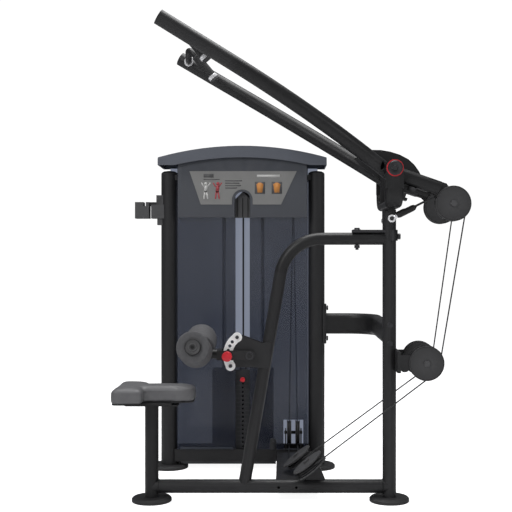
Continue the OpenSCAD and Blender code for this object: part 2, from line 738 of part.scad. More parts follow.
module placard() color([0.45, 0.45, 0.44]) translate([0, front_y - 32, 0]) rotate([90, 0, 0])
  linear_extrude(2) difference() {
    polygon([[tower_x - 209, 1338], [tower_x + 195, 1338], [tower_x + 274, 1506], [tower_x - 266, 1506]]);
    header_arch(104, 1414);
  }

// arched band of the top cap, drawn in by inset and deepened by low
module cap_band(inset, low) intersection() {
  difference() {
    translate([tower_x, cap_top - cap_r]) circle(r = cap_r - inset, $fn = 120);
    translate([tower_x, cap_top - cap_r]) circle(r = cap_r - 58 - low, $fn = 120);
  }
  translate([tower_x, 1540]) polygon([[-cap_w / 2 + inset, -5], [-cap_w / 2 + inset, 26], [-cap_w / 2 + 34, 200],
    [cap_w / 2 - 34, 200], [cap_w / 2 - inset, 26], [cap_w / 2 - inset, -5]]);
}

module top_cap() color(shell) difference() {
  translate([0, rear_y + 40, 0]) rotate([90, 0, 0]) linear_extrude(rear_y - front_y + 92) cap_band(0, 0);
  translate([0, rear_y + 35, 0]) rotate([90, 0, 0]) linear_extrude(rear_y - front_y + 82) cap_band(5, 10);
}

module guide_rods() color(steel) for (s = [-1, 1])
  translate([tower_x + s * rod_span / 2, stack_y, tray_z]) cylinder(d = rod_d, h = upright_top - 26 - tray_z, $fn = 24);

// one plate with its rod, stem and pin holes, centred on the stack's axis
module plate(h) difference() {
  translate([-plate_size[0] / 2, -plate_size[1] / 2, 0]) cube([plate_size[0], plate_size[1], h]);
  for (s = [-1, 1]) translate([s * rod_span / 2, 0, -1]) cylinder(d = rod_d + 3, h = h + 2, $fn = 16);
  translate([0, 0, -1]) cylinder(d = stem_d + 2, h = h + 2, $fn = 16);
  translate([0, 0, h / 2]) rotate([90, 0, 0]) cylinder(d = pin_hole, h = plate_size[1], $fn = 8);
}

module weight_plates() color(satin) for (i = [0:plate_count - 2])
  translate([tower_x, stack_y, stack_z + i * plate_pitch]) plate(plate_pitch - 0.3);

module first_plate() color(satin)
  translate([tower_x, stack_y, stack_z + (plate_count - 1) * plate_pitch]) plate(plate_pitch - 0.3);

// head plate with its pulley clevis and the selector stem
module head_plate() color(satin) translate([tower_x, stack_y, head_z]) {
  difference() {
    translate([-plate_size[0] / 2, -plate_size[1] / 2, 0]) cube([plate_size[0], plate_size[1], head_h]);
    for (s = [-1, 1]) translate([s * rod_span / 2, 0, -1]) cylinder(d = rod_d + 1, h = head_h + 2, $fn = 24);
  }
  difference() {
    for (s = [-1, 1]) translate([s * 14 - 3, -22, head_h]) cube([6, 44, 70]);
    along([0, 0, head_h + 52], axle_d + 0.02, 80, 24);
  }
  along([0, 0, head_h + 52], axle_d, 46, 24);
  difference() {
    translate([0, 0, -(head_z - stack_z) + 4]) cylinder(d = stem_d, h = head_z - stack_z - 4, $fn = 20);
    for (i = [1:plate_count]) translate([0, 0, -i * plate_pitch + (plate_pitch - 0.3) / 2]) rotate([90, 0, 0])
      cylinder(d = pin_hole, h = stem_d + 2, center = true, $fn = 8);
  }
}

module selector_pin() color(red) {
  z = head_z - plate_pitch + (plate_pitch - 0.3) / 2;
  front = stack_y - plate_size[1] / 2;
  across([tower_x, (front - 10 + stack_y + 10) / 2, z], 9.4, stack_y + 10 - front + 10, 16);
  across([tower_x, front - 17, z], 24, 14, 24);
  // two prongs of the grip
  for (s = [-1, 1]) across([tower_x + s * 9, front - 34, z], 7, 22, 12);
}

// ---- seat and thigh pad ----

module seat_pad() color(vinyl) {
  z = seat_top - seat_t;
  translate([-1214, -158, z]) linear_extrude(seat_t) {
    square([149, 316]);
    translate([140, 84]) square([180, 148]);
    translate([320, 158]) resize([102, 148]) circle(d = 148, $fn = 48);
  }
  translate([-seat_reach - 105, -70, z - 14]) cube([200, 140, 14.0]);
}

module pad_bracket() color(black) difference() {
  // two cheeks on the brace
  for (s = [-1, 1]) translate([0, s * 27, 0]) rotate([90, 0, 0]) linear_extrude(8, center = true)
    polygon([[-520, 705], [-559, 697], [-648, 730], [-690, 700], [-700, 640], [-692, 592], [-600, 592],
      [-571, 590], [-530, 585]]);
  bar([-452.3 - (brace_z - base_z) * tan(brace_lean), 0, base_z], [-452.3, 0, brace_z], brace_d);
  across(pad_pivot, 14, 100, 24);
}

// curved plate with the stops of the pad arm, its holes spaced evenly around the pivot
module pad_sector() color(zinc) difference() {
  translate([0, -31, 0]) rotate([90, 0, 0]) linear_extrude(5) translate([pad_pivot[0], pad_pivot[2]]) {
    intersection() {
      difference() {
        circle(r = sector_r + 20, $fn = 60);
        circle(r = sector_r - 20, $fn = 60);
      }
      polygon([[0, 0], 200 * [cos(125), sin(125)], 200 * [cos(145), sin(145)], 200 * [cos(167), sin(167)],
        200 * [cos(190), sin(190)], 200 * [cos(209), sin(209)]]);
    }
    for (a = [125, 209]) translate(sector_r * [cos(a), sin(a)]) circle(r = 21.5, $fn = 32);
  }
  for (i = [-1:3]) across([pad_pivot[0] + sector_r * cos(180 - 12.5 * i), -34,
    pad_pivot[2] + sector_r * sin(180 - 12.5 * i)], 14.6, 20, 24);
}

module pad_arm() color(black) {
  y1 = -52;
  difference() {
    union() {
      // forked cheeks over the sector, then the tube
      for (y = [y1, 46]) {
        translate([0, y, 0]) rotate([90, 0, 0]) linear_extrude(8, center = true) {
          translate([pad_pivot[0], pad_pivot[2]]) circle(d = 46, $fn = 32);
          translate([-740, 625]) square([127, 42]);
        }
      }
      translate([-756, -56, 625]) cube([20, 106, 42]);
      bar([-750, 0, 647], [pad_roller[0], 0, 648], 42);
      for (s = [-1, 1]) bar(pad_roller, pad_roller + [0, s * 236 * cos(roller_tilt), 236 * sin(roller_tilt)], 24, 24);
      for (s = [-1, 1]) bar(pad_roller + [0, s * 238 * cos(roller_tilt), 238 * sin(roller_tilt)],
        pad_roller + [0, s * 244 * cos(roller_tilt), 244 * sin(roller_tilt)], 68, 32);
    }
    across([knob_x, y1, 645], 14.1, 20, 24);
  }
  across(pad_pivot, 13.9, 116, 24);
  across(pad_pivot - [0, 60, 0], 24, 8, 6);
}

module roller(s) color(rubber) {
  e = [0, s * cos(roller_tilt), sin(roller_tilt)];
  difference() {
    bar(pad_roller + e * 60, pad_roller + e * 236.5, roller_d, 48);
    bar(pad_roller + e * 50, pad_roller + e * 240, 24.2, 24);
  }
}
module right_roller() roller(-1);
module left_roller() roller(1);

module pop_pin() color(red) {
  translate([knob_x, 0, 645]) rotate([90, 0, 0]) rotate_extrude($fn = 24) polygon([
    [0, 36.5], [3, 36.5], [4.8, 41], [4.8, 50.5], [7, 50.5], [7, 76.2], [0, 76.2]]);
  across([knob_x, -92, 645], 42, 32, 32);
}

// clamp on the left upright with a slotted block for attachments
module accessory_holder() color(satin) difference() {
  union() {
    translate([left_x - 90, tower_y - 34, 1270]) cube([100, 68, 70]);
    translate([left_x - 64, tower_y - 30, 1339]) cube([74, 60, 49]);
    translate([left_x - 60, tower_y - 26, 1237]) cube([60, 52, 34]);
    translate([left_x - 115, tower_y - 20, 1334]) cube([60, 40, 19]);
    difference() {
      translate([left_x - 172, tower_y - 34, 1270]) cube([71, 68, 83]);
      translate([left_x - 130, tower_y - 40, 1333]) cube([13, 80, 30]);
    }
  }
  translate([left_x, tower_y, 1200]) cylinder(d = upright_d, h = 240, $fn = 40);
}

// ---- selector ----

base_tube();
seat_post();
main_post();
foot_discs();
curved_brace();
brace_clamp();
frame_bolts();
base_link();
side_link();
post_yoke();
rubber_bumpers();
hub_shafts();
hub_rings();
left_upright();
right_upright();
upright_caps();
tower_beams();
front_panels();
rear_panel();
header_cover();
placard();
top_cap();
guide_rods();
weight_plates();
mid_bracket();
base_brackets();
tower_brackets();
pulley_covers();
pad_bracket();
pad_sector();
seat_pad();
accessory_holder();
cable();
right_arm();
right_lever();
right_handle();
right_grip();
right_axle();
left_arm();
left_lever();
left_handle();
left_grip();
left_axle();
right_arm_pulley();
left_arm_pulley();
right_mid_pulley();
left_mid_pulley();
right_base_pulley();
left_base_pulley();
low_pulleys();
top_pulleys();
centre_pulleys();
head_pulley();
head_plate();
first_plate();
selector_pin();
pad_arm();
right_roller();
left_roller();
pop_pin();
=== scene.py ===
import math
import bmesh
import bpy
from mathutils.bvhtree import BVHTree
from mathutils import Matrix, Vector


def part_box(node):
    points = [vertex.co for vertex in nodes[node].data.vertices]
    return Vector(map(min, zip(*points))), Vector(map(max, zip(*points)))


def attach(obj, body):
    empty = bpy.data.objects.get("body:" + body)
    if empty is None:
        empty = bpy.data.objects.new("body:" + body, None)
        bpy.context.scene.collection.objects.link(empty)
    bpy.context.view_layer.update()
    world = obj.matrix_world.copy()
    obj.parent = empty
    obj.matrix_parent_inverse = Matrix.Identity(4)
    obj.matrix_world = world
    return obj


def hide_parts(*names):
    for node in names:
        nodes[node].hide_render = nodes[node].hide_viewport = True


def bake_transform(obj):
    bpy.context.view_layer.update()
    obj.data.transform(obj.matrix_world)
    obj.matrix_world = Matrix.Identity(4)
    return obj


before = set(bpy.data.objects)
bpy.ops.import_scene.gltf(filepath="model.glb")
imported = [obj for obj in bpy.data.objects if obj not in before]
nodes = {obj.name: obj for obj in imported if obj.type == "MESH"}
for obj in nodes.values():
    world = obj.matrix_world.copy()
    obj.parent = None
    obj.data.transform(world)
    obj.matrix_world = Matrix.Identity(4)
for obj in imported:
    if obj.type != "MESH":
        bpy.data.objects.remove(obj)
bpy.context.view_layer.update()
scene = bpy.context.scene


# ---------- camera, light and floor ----------
cam_data = bpy.data.cameras.new("camera")
cam_data.lens = 70.3
cam_data.sensor_width = 36.0
cam_data.shift_x = -0.0566
cam_data.shift_y = 0.002
cam_data.clip_end = 60.0
camera = bpy.data.objects.new("camera", cam_data)
camera.location = (-0.459, -4.4, 1.074)
camera.rotation_euler = (math.radians(90), 0, 0)
scene.collection.objects.link(camera)
scene.camera = camera


def linear(code):
    """RGBA in linear light of a six-digit sRGB hex code."""
    out = []
    for i in (0, 2, 4):
        c = int(code[i:i + 2], 16) / 255
        out.append(c / 12.92 if c <= 0.04045 else ((c + 0.055) / 1.055) ** 2.4)
    return (*out, 1.0)


def area_light(name, place, aim, size, power, size_y=None):
    data = bpy.data.lights.new(name, "AREA")
    data.shape = "RECTANGLE"
    data.size = size
    data.size_y = size_y or size
    data.energy = power
    o = bpy.data.objects.new(name, data)
    o.location = place
    o.rotation_euler = (Vector(aim) - Vector(place)).to_track_quat("-Z", "Y").to_euler()
    scene.collection.objects.link(o)


area_light("key", (-3.4, -3.4, 4.0), (-0.4, 0.2, 0.9), 2.0, 105)
area_light("fill", (3.4, -3.0, 2.4), (-0.3, 0.2, 0.9), 2.0, 30)
area_light("top", (-0.4, 0.6, 4.6), (-0.4, 0.4, 0.8), 2.6, 150)
area_light("front", (-0.4, -5.2, 1.6), (-0.4, 0.4, 1.0), 3.0, 14, size_y=2.0)
scene.view_settings.view_transform = "Standard"

world = bpy.data.worlds.new("studio")
scene.world = world
world.use_nodes = True
# the camera sees a white studio, the object is lit by a dimmer one
sky = world.node_tree
back = sky.nodes["Background"]
back.inputs["Color"].default_value = (0.95, 0.96, 1.0, 1)
back.inputs["Strength"].default_value = 0.15
white = sky.nodes.new("ShaderNodeBackground")
white.inputs["Color"].default_value = (1, 1, 1, 1)
white.inputs["Strength"].default_value = 1.05
pick = sky.nodes.new("ShaderNodeMixShader")
ray = sky.nodes.new("ShaderNodeLightPath")
sky.links.new(ray.outputs["Is Camera Ray"], pick.inputs[0])
sky.links.new(back.outputs[0], pick.inputs[1])
sky.links.new(white.outputs[0], pick.inputs[2])
sky.links.new(pick.outputs[0], sky.nodes["World Output"].inputs["Surface"])


# ---------- materials ----------
class Shader:
    """A Principled material with short calls for its nodes, in object coordinates (metres)."""

    def __init__(self, name, colour, rough=0.5, metal=0.0, **extra):
        self.mat = bpy.data.materials.new(name)
        self.mat.use_nodes = True
        self.tree = self.mat.node_tree
        self.bsdf = self.tree.nodes["Principled BSDF"]
        self.base = linear(colour)
        self.bsdf.inputs["Base Color"].default_value = self.base
        self.bsdf.inputs["Roughness"].default_value = rough
        self.bsdf.inputs["Metallic"].default_value = metal
        for k, v in extra.items():
            self.bsdf.inputs[k.replace("_", " ")].default_value = v
        self.coord = self.tree.nodes.new("ShaderNodeTexCoord").outputs["Object"]
        self.height = None

    def stretch(self, scale):
        m = self.tree.nodes.new("ShaderNodeMapping")
        m.inputs["Scale"].default_value = scale
        self.tree.links.new(self.coord, m.inputs["Vector"])
        return m.outputs["Vector"]

    def noise(self, scale, detail=3.0, rough=0.5, vector=None):
        n = self.tree.nodes.new("ShaderNodeTexNoise")
        n.inputs["Scale"].default_value = scale
        n.inputs["Detail"].default_value = detail
        n.inputs["Roughness"].default_value = rough
        self.tree.links.new(vector or self.coord, n.inputs["Vector"])
        return n.outputs["Fac"]

    def cells(self, scale, feature="F1"):
        n = self.tree.nodes.new("ShaderNodeTexVoronoi")
        n.feature = feature
        n.inputs["Scale"].default_value = scale
        self.tree.links.new(self.coord, n.inputs["Vector"])
        return n.outputs["Distance"]

    def ramp(self, value, stops):
        r = self.tree.nodes.new("ShaderNodeValToRGB")
        e = r.color_ramp.elements
        while len(e) < len(stops):
            e.new(0.5)
        for el, (pos, col) in zip(e, stops):
            el.position = pos
            el.color = col if isinstance(col, tuple) else (col, col, col, 1)
        self.tree.links.new(value, r.inputs["Fac"])
        return r.outputs["Color"]

    def link(self, value, socket):
        self.tree.links.new(value, self.bsdf.inputs[socket])
        return self

    def shade(self, amount, value):
        """Base colour varied by the value, darker at 0 and lighter at 1."""
        lo = tuple(c * (1 - amount) for c in self.base[:3]) + (1,)
        hi = tuple(min(1, c * (1 + amount)) for c in self.base[:3]) + (1,)
        return self.link(self.ramp(value, [(0.25, lo), (0.75, hi)]), "Base Color")

    def rough_range(self, lo, hi, value):
        return self.link(self.ramp(value, [(0.2, lo), (0.8, hi)]), "Roughness")

    def bump(self, value, strength, distance):
        b = self.tree.nodes.new("ShaderNodeBump")
        b.inputs["Strength"].default_value = strength
        b.inputs["Distance"].default_value = distance
        self.tree.links.new(value, b.inputs["Height"])
        if self.height is not None:
            self.tree.links.new(self.height, b.inputs["Normal"])
        self.height = b.outputs["Normal"]
        self.tree.links.new(self.height, self.bsdf.inputs["Normal"])
        return self

    def edges(self, tint, low=0.53, high=0.60, share=0.5):
        """Lighter edges from the surface's pointiness: a painted edge highlight."""
        g = self.tree.nodes.new("ShaderNodeNewGeometry")
        mask = self.ramp(g.outputs["Pointiness"], [(low, 0.0), (high, share)])
        mix = self.tree.nodes.new("ShaderNodeMix")
        mix.data_type = "RGBA"
        old = self.bsdf.inputs["Base Color"]
        if old.is_linked:
            self.tree.links.new(old.links[0].from_socket, mix.inputs[6])
        else:
            mix.inputs[6].default_value = self.base
        mix.inputs[7].default_value = linear(tint)
        self.tree.links.new(mask, mix.inputs[0])
        self.tree.links.new(mix.outputs[2], old)
        return self


def powder_coat(name, colour, rough=0.42):
    s = Shader(name, colour, rough, Specular_IOR_Level=0.32)
    s.shade(0.10, s.noise(9, 4))
    s.rough_range(rough - 0.06, rough + 0.08, s.noise(22, 3))
    s.bump(s.noise(900, 2), 0.10, 0.0001).bump(s.noise(220, 2), 0.06, 0.0001)
    return s.edges("4A4A4C", 0.56, 0.66, 0.25).mat


def moulded(name, colour, rough=0.45, grain=1500, strength=0.2):
    s = Shader(name, colour, rough, Specular_IOR_Level=0.35)
    s.shade(0.07, s.noise(14, 3))
    s.rough_range(rough - 0.05, rough + 0.07, s.noise(45, 3))
    s.bump(s.noise(grain, 2), strength, 0.0001)
    return s.edges("8A8A8C", share=0.22).mat


def metal(name, colour, rough, brushed=(1, 1, 1), scale=400, strength=0.08):
    s = Shader(name, colour, rough, 1.0)
    v = s.stretch(brushed)
    s.rough_range(max(0.04, rough - 0.06), rough + 0.1, s.noise(scale, 3, 0.6, v))
    s.shade(0.06, s.noise(18, 3))
    s.bump(s.noise(scale, 2, 0.5, v), strength, 0.0001)
    return s.mat


frame_black = powder_coat("frame_black", "202021")
tower_black = powder_coat("tower_black", "1E1E1F", 0.46)
rubber_black = moulded("rubber_black", "1E1E1F", 0.62, 900, 0.35)
grip_rubber = moulded("grip_rubber", "1D1D1E", 0.72, 700, 0.6)
pulley_nylon = moulded("pulley_nylon", "2A2A2B", 0.48, 1200, 0.25)
cap_grey = moulded("cap_grey", "4C4C4D", 0.45, 1200, 0.2)
ring_black = moulded("ring_black", "0B0B0B", 0.55, 1000, 0.2)
cover_nylon = moulded("cover_nylon", "333334", 0.5, 1100, 0.3)
shroud_blue = moulded("shroud_blue", "292F3A", 0.4, 800, 0.25)
cap_blue = moulded("cap_blue", "474D59", 0.42, 800, 0.25)
holder_grey = moulded("holder_grey", "2C2C2D", 0.5, 900, 0.3)
placard_grey = moulded("placard_grey", "80807E", 0.5, 1500, 0.12)
chrome = metal("chrome", "F4F4F6", 0.22)
chrome.node_tree.nodes["Principled BSDF"].inputs["Metallic"].default_value = 0.55
# the guide rods' light blue-grey colour with little metal is a painted reflection, so they look
# bright through the slot
rod_chrome = metal("rod_chrome", "B4BCCC", 0.3, (1, 1, 0.02), 900)
rod_chrome.node_tree.nodes["Principled BSDF"].inputs["Metallic"].default_value = 0.15
alu_cap = metal("alu_cap", "48494B", 0.34, (1, 0.05, 1), 700)
zinc = metal("zinc", "FDFDFB", 0.4, (1, 1, 0.1), 500)
zinc.node_tree.nodes["Principled BSDF"].inputs["Metallic"].default_value = 0.0
oxide = metal("oxide", "4A4A4C", 0.42)
iron = powder_coat("iron", "303134", 0.5)
red = Shader("accent_red", "D4202F", 0.34)
red.shade(0.08, red.noise(40)).bump(red.noise(1300), 0.12, 0.0001)
red = red.mat

foam = Shader("foam_grey", "58585A", 0.78, Specular_IOR_Level=0.3)
foam.shade(0.14, foam.noise(60, 5))
foam.bump(foam.cells(1500), 0.45, 0.0004).bump(foam.noise(240, 4), 0.3, 0.0006)
foam = foam.mat

vinyl = Shader("vinyl_grey", "626264", 0.5)
vinyl.shade(0.10, vinyl.noise(30, 5))
vinyl.rough_range(0.42, 0.58, vinyl.noise(50, 3))
vinyl.bump(vinyl.cells(620, "DISTANCE_TO_EDGE"), 0.35, 0.0004)
vinyl.bump(vinyl.noise(1600, 2), 0.2, 0.0002)
vinyl.bump(vinyl.noise(14, 3), 0.25, 0.002)
vinyl = vinyl.mat


def smoked_sheet(name, colour, alpha, painted_reflection):
    """Tinted clear sheet with soft vertical reflections painted into its colour."""
    s = Shader(name, colour, 0.16, Alpha=alpha, Specular_IOR_Level=0.4)
    s.shade(painted_reflection, s.noise(1.0, 2, 0.5, s.stretch((9, 1, 0.25))))
    s.rough_range(0.12, 0.24, s.noise(6, 2))
    s.bump(s.noise(2, 1), 0.02, 0.001)
    return s.mat


smoked = smoked_sheet("smoked_panel", "252A38", 0.64, 0.30)
smoked_rear = smoked_sheet("smoked_rear", "6A7182", 0.94, 0.15)
# painted backlight: the rear sheet's face towards the stack (-Y) glows, standing in for daylight
# through the translucent sheet
PAINTED_BACKLIGHT = 0.42
rear_tree = smoked_rear.node_tree
rear_bsdf = rear_tree.nodes["Principled BSDF"]
rear_bsdf.inputs["Emission Color"].default_value = linear("AEB6CA")
facing = rear_tree.nodes.new("ShaderNodeSeparateXYZ")
geometry = rear_tree.nodes.new("ShaderNodeNewGeometry")
rear_tree.links.new(geometry.outputs["Normal"], facing.inputs[0])
level = rear_tree.nodes.new("ShaderNodeMapRange")
level.inputs["From Min"].default_value = 0.2
level.inputs["From Max"].default_value = -0.2
level.inputs["To Max"].default_value = PAINTED_BACKLIGHT
rear_tree.links.new(facing.outputs["Y"], level.inputs["Value"])
rear_tree.links.new(level.outputs["Result"], rear_bsdf.inputs["Emission Strength"])

cable_skin = Shader("cable_skin", "1E1E1F", 0.38)
cable_skin.shade(0.1, cable_skin.noise(60))
cable_skin.bump(cable_skin.noise(900), 0.2, 0.0002)
cable_skin = cable_skin.mat

white_ink = moulded("white_ink", "D9D9D6", 0.5, 1500, 0.05)
red_ink = moulded("red_ink", "B32430", 0.5, 1500, 0.05)
orange_ink = moulded("orange_ink", "D98A1F", 0.5, 1500, 0.05)
dark_ink = moulded("dark_ink", "4A4A4A", 0.5, 1500, 0.05)

# the floor is white to the camera only, so it lights nothing
floor_paint = Shader("floor_paint", "F2F2F3", 0.85, Emission_Color=(1, 1, 1, 1))
seen = floor_paint.tree.nodes.new("ShaderNodeMath")
seen.operation = "MULTIPLY"
seen.inputs[1].default_value = 0.93
path = floor_paint.tree.nodes.new("ShaderNodeLightPath")
floor_paint.tree.links.new(path.outputs["Is Camera Ray"], seen.inputs[0])
floor_paint.link(seen.outputs[0], "Emission Strength")
floor_paint.shade(0.01, floor_paint.noise(2)).bump(floor_paint.noise(300), 0.05, 0.0005)

PAINT = {
    frame_black: "base_tube seat_post main_post curved_brace base_link side_link post_yoke "
                 "mid_bracket base_brackets pad_bracket right_arm right_lever left_arm left_lever "
                 "pad_arm right_handle left_handle",
    tower_black: "left_upright right_upright tower_beams tower_brackets",
    rubber_black: "foot_discs rubber_bumpers upright_caps",
    grip_rubber: "right_grip left_grip",
    foam: "right_roller left_roller",
    vinyl: "seat_pad",
    cable_skin: "cable",
    shroud_blue: "header_cover",
    cap_blue: "top_cap",
    smoked: "front_panels",
    smoked_rear: "rear_panel",
    placard_grey: "placard",
    rod_chrome: "guide_rods",
    alu_cap: "hub_shafts",
    zinc: "pad_sector",
    oxide: "frame_bolts brace_clamp",
    red: "hub_rings selector_pin pop_pin",
    iron: "weight_plates first_plate head_plate",
    pulley_nylon: "right_arm_pulley left_arm_pulley right_mid_pulley left_mid_pulley "
                  "right_base_pulley left_base_pulley low_pulleys top_pulleys centre_pulleys "
                  "head_pulley",
    cover_nylon: "pulley_covers right_axle left_axle",
    holder_grey: "accessory_holder",
}
for mat, names in PAINT.items():
    for name in names.split():
        for slot in nodes[name].material_slots:
            slot.material = mat


# ---------- mesh helpers ----------
def make(name, bm, mat, body, smooth=40, bevel=0.0):
    """Object from a bmesh that rides on the body. smooth is the angle of hard edges, 0 for none."""
    me = bpy.data.meshes.new(name)
    bmesh.ops.recalc_face_normals(bm, faces=bm.faces)
    bm.to_mesh(me)
    bm.free()
    me.materials.append(mat)
    o = bpy.data.objects.new(name, me)
    scene.collection.objects.link(o)
    for p in me.polygons:
        p.use_smooth = True
    if bevel:
        b = o.modifiers.new("bevel", "BEVEL")
        b.width = bevel
        b.segments = 3
        b.limit_method = "ANGLE"
    if smooth:
        m = o.modifiers.new("edges", "EDGE_SPLIT")
        m.split_angle = math.radians(smooth)
    if body:
        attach(o, body)
    return o


def turn_to(axis):
    """Matrix that turns local +Z onto the axis."""
    return Vector(axis).to_track_quat("Z", "Y").to_matrix().to_4x4()


def lathe(profile, axis, place, steps=64):
    """bmesh of a profile (radius, height) turned about the axis at the place."""
    bm = bmesh.new()
    m = Matrix.Translation(Vector(place)) @ turn_to(axis)
    rows = []
    for r, z in profile:
        if r < 1e-6:
            rows.append([bm.verts.new(m @ Vector((0, 0, z)))])
        else:
            rows.append([bm.verts.new(m @ Vector((r * math.cos(a), r * math.sin(a), z)))
                         for a in (2 * math.pi * i / steps for i in range(steps))])
    for a, b in zip(rows, rows[1:]):
        for i in range(steps):
            j = (i + 1) % steps
            if len(a) == 1 and len(b) == 1:
                continue
            if len(a) == 1:
                bm.faces.new((a[0], b[i], b[j]))
            elif len(b) == 1:
                bm.faces.new((a[i], b[0], a[j]))
            else:
                bm.faces.new((a[i], b[i], b[j], a[j]))
    return bm


def prism(points, depth, matrix):
    """bmesh of a flat outline, extruded along the matrix's z."""
    bm = bmesh.new()
    low = [bm.verts.new(matrix @ Vector((x, y, 0))) for x, y in points]
    high = [bm.verts.new(matrix @ Vector((x, y, depth))) for x, y in points]
    n = len(points)
    bm.faces.new(low[::-1])
    bm.faces.new(high)
    for i in range(n):
        bm.faces.new((low[i], low[(i + 1) % n], high[(i + 1) % n], high[i]))
    return bm


def ring_points(cx, cy, r, n=24):
    return [(cx + r * math.cos(math.radians(360.0 * i / n)),
             cy + r * math.sin(math.radians(360.0 * i / n))) for i in range(n)]


def tube(path, r, sides=16):
    """bmesh of a round rod along a list of points, closed at both ends."""
    bm = bmesh.new()
    rows = []
    side = None
    pts = [Vector(p) for p in path]
    for i, p in enumerate(pts):
        t = (pts[min(i + 1, len(pts) - 1)] - pts[max(i - 1, 0)]).normalized()
        if side is None:
            side = t.orthogonal().normalized()
        side = (side - t * side.dot(t)).normalized()
        up = t.cross(side)
        rows.append([bm.verts.new(p + r * (side * math.cos(a) + up * math.sin(a)))
                     for a in (2 * math.pi * k / sides for k in range(sides))])
    for a, b in zip(rows, rows[1:]):
        for k in range(sides):
            j = (k + 1) % sides
            bm.faces.new((a[k], a[j], b[j], b[k]))
    bm.faces.new(rows[0][::-1])
    bm.faces.new(rows[-1])
    return bm


# outline drawn in XZ, its depth towards -Y
FRONT = Matrix(((1, 0, 0, 0), (0, 0, -1, 0), (0, 1, 0, 0), (0, 0, 0, 1)))

# ---------- floor ----------
bm = bmesh.new()
bmesh.ops.create_grid(bm, x_segments=2, y_segments=2, size=14)
floor = make("floor", bm, floor_paint.mat, None, 0)


# ---------- soft goods ----------
def remesh(o, size):
    m = o.modifiers.new("remesh", "REMESH")
    m.mode = "VOXEL"
    m.voxel_size = size
    depsgraph = bpy.context.evaluated_depsgraph_get()
    me = bpy.data.meshes.new_from_object(o.evaluated_get(depsgraph))
    o.modifiers.remove(m)
    o.data = me


def inflate(o, pressure, frames, cap, held=None):
    """Cloth pressure on a closed mesh, each point's move capped, the result applied.

    held(point) says which points stay where they are.
    """
    rest = [v.co.copy() for v in o.data.vertices]
    bpy.context.view_layer.objects.active = o
    c = o.modifiers.new("cloth", "CLOTH")
    c.settings.use_pressure = True
    c.settings.uniform_pressure_force = pressure
    c.settings.tension_stiffness = 30
    c.settings.compression_stiffness = 30
    c.settings.effector_weights.gravity = 0
    if held:
        pinned = [v.index for v in o.data.vertices if held(v.co)]
        o.vertex_groups.new(name="held").add(pinned, 1.0, "REPLACE")
        c.settings.vertex_group_mass = "held"
    c.point_cache.frame_start = 1
    c.point_cache.frame_end = frames
    for i in range(1, frames + 1):
        scene.frame_set(i)
    got = o.evaluated_get(bpy.context.evaluated_depsgraph_get()).data
    moved = [v.co.copy() for v in got.vertices]
    o.modifiers.remove(c)
    scene.frame_set(1)
    for v, a, b in zip(o.data.vertices, rest, moved):
        d = b - a
        v.co = a + d * min(1.0, cap / d.length) if d.length > 1e-9 else a


def soften(o, passes, body, node):
    """Smooth and subdivide a soft piece, put it on its body and hide the part it stands in for."""
    for polygon in o.data.polygons:
        polygon.use_smooth = True
    sm = o.modifiers.new("smooth", "SMOOTH")
    sm.factor = 0.5
    sm.iterations = passes
    sub = o.modifiers.new("sub", "SUBSURF")
    sub.levels = sub.render_levels = 1
    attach(o, body)
    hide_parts(node)


# ---------- seat pad ----------
def seat_outline(grow):
    """Plan of the seat: a wide rear and a narrower rounded nose, grown outwards."""
    x0, x1, x2 = -1.214 - grow, -1.065 + grow, -0.843 + grow
    w, v = 0.158 + grow, 0.074 + grow
    rear, inner, nose = 0.022, 0.020, 0.045
    corners = [(x0, -w, rear), (x1, -w, rear), (x1, -v, inner), (x2, -v, nose), (x2, v, nose),
               (x1, v, inner), (x1, w, rear), (x0, w, rear)]
    steps = 5
    pts = []
    for i, (x, y, r) in enumerate(corners):
        corner = Vector((x, y, 0))
        before = (Vector((*corners[i - 1][:2], 0)) - corner).normalized()
        after = (Vector((*corners[(i + 1) % len(corners)][:2], 0)) - corner).normalized()
        for k in range(steps + 1):
            t = k / steps
            q = corner + before * r * (1 - t) ** 2 + after * r * t ** 2
            pts.append((q.x, q.y))
    return pts


SEAT_LOW, SEAT_HIGH = 0.4445, 0.5095
SEAT_LAYERS = (                      # growth of the plan, height
    (-0.017, SEAT_LOW + 0.001), (-0.008, SEAT_LOW + 0.005), (-0.006, SEAT_LOW + 0.014),
    (-0.006, SEAT_HIGH - 0.022), (-0.009, SEAT_HIGH - 0.010), (-0.018, SEAT_HIGH - 0.003),
    (-0.034, SEAT_HIGH - 0.001))
bm = bmesh.new()
loops = [[bm.verts.new((x, y, z)) for x, y in seat_outline(grow)] for grow, z in SEAT_LAYERS]
for a, b in zip(loops, loops[1:]):
    for i in range(len(a)):
        j = (i + 1) % len(a)
        bm.faces.new((a[i], a[j], b[j], b[i]))
bm.faces.new(loops[0][::-1])
bm.faces.new(loops[-1])
seat = make("seat_cushion", bm, vinyl, None, 0)
remesh(seat, 0.0055)
inflate(seat, 3.0, 16, 0.006)
soften(seat, 6, "frame", "seat_pad")

# sewn seam laid on the cushion below its top edge, then the board and the mounting plate under it
cushion = BVHTree.FromObject(seat, bpy.context.evaluated_depsgraph_get())
seam = [cushion.find_nearest(Vector((x, y, SEAT_HIGH - 0.013)))[0]
        for x, y in seat_outline(-0.002)]
make("seat_seam", tube(seam + seam[:1], 0.0016, 8), vinyl, "frame", 0)
board = prism(seat_outline(-0.014), 0.006, Matrix.Translation((0, 0, 0.4405)))
make("seat_board", board, rubber_black, "frame", 40, 0.001)
plate = prism([(-1.15, -0.07), (-0.95, -0.07), (-0.95, 0.07), (-1.15, 0.07)], 0.0095,
              Matrix.Translation((0, 0, 0.431)))
make("seat_plate", plate, frame_black, "frame", 40, 0.002)


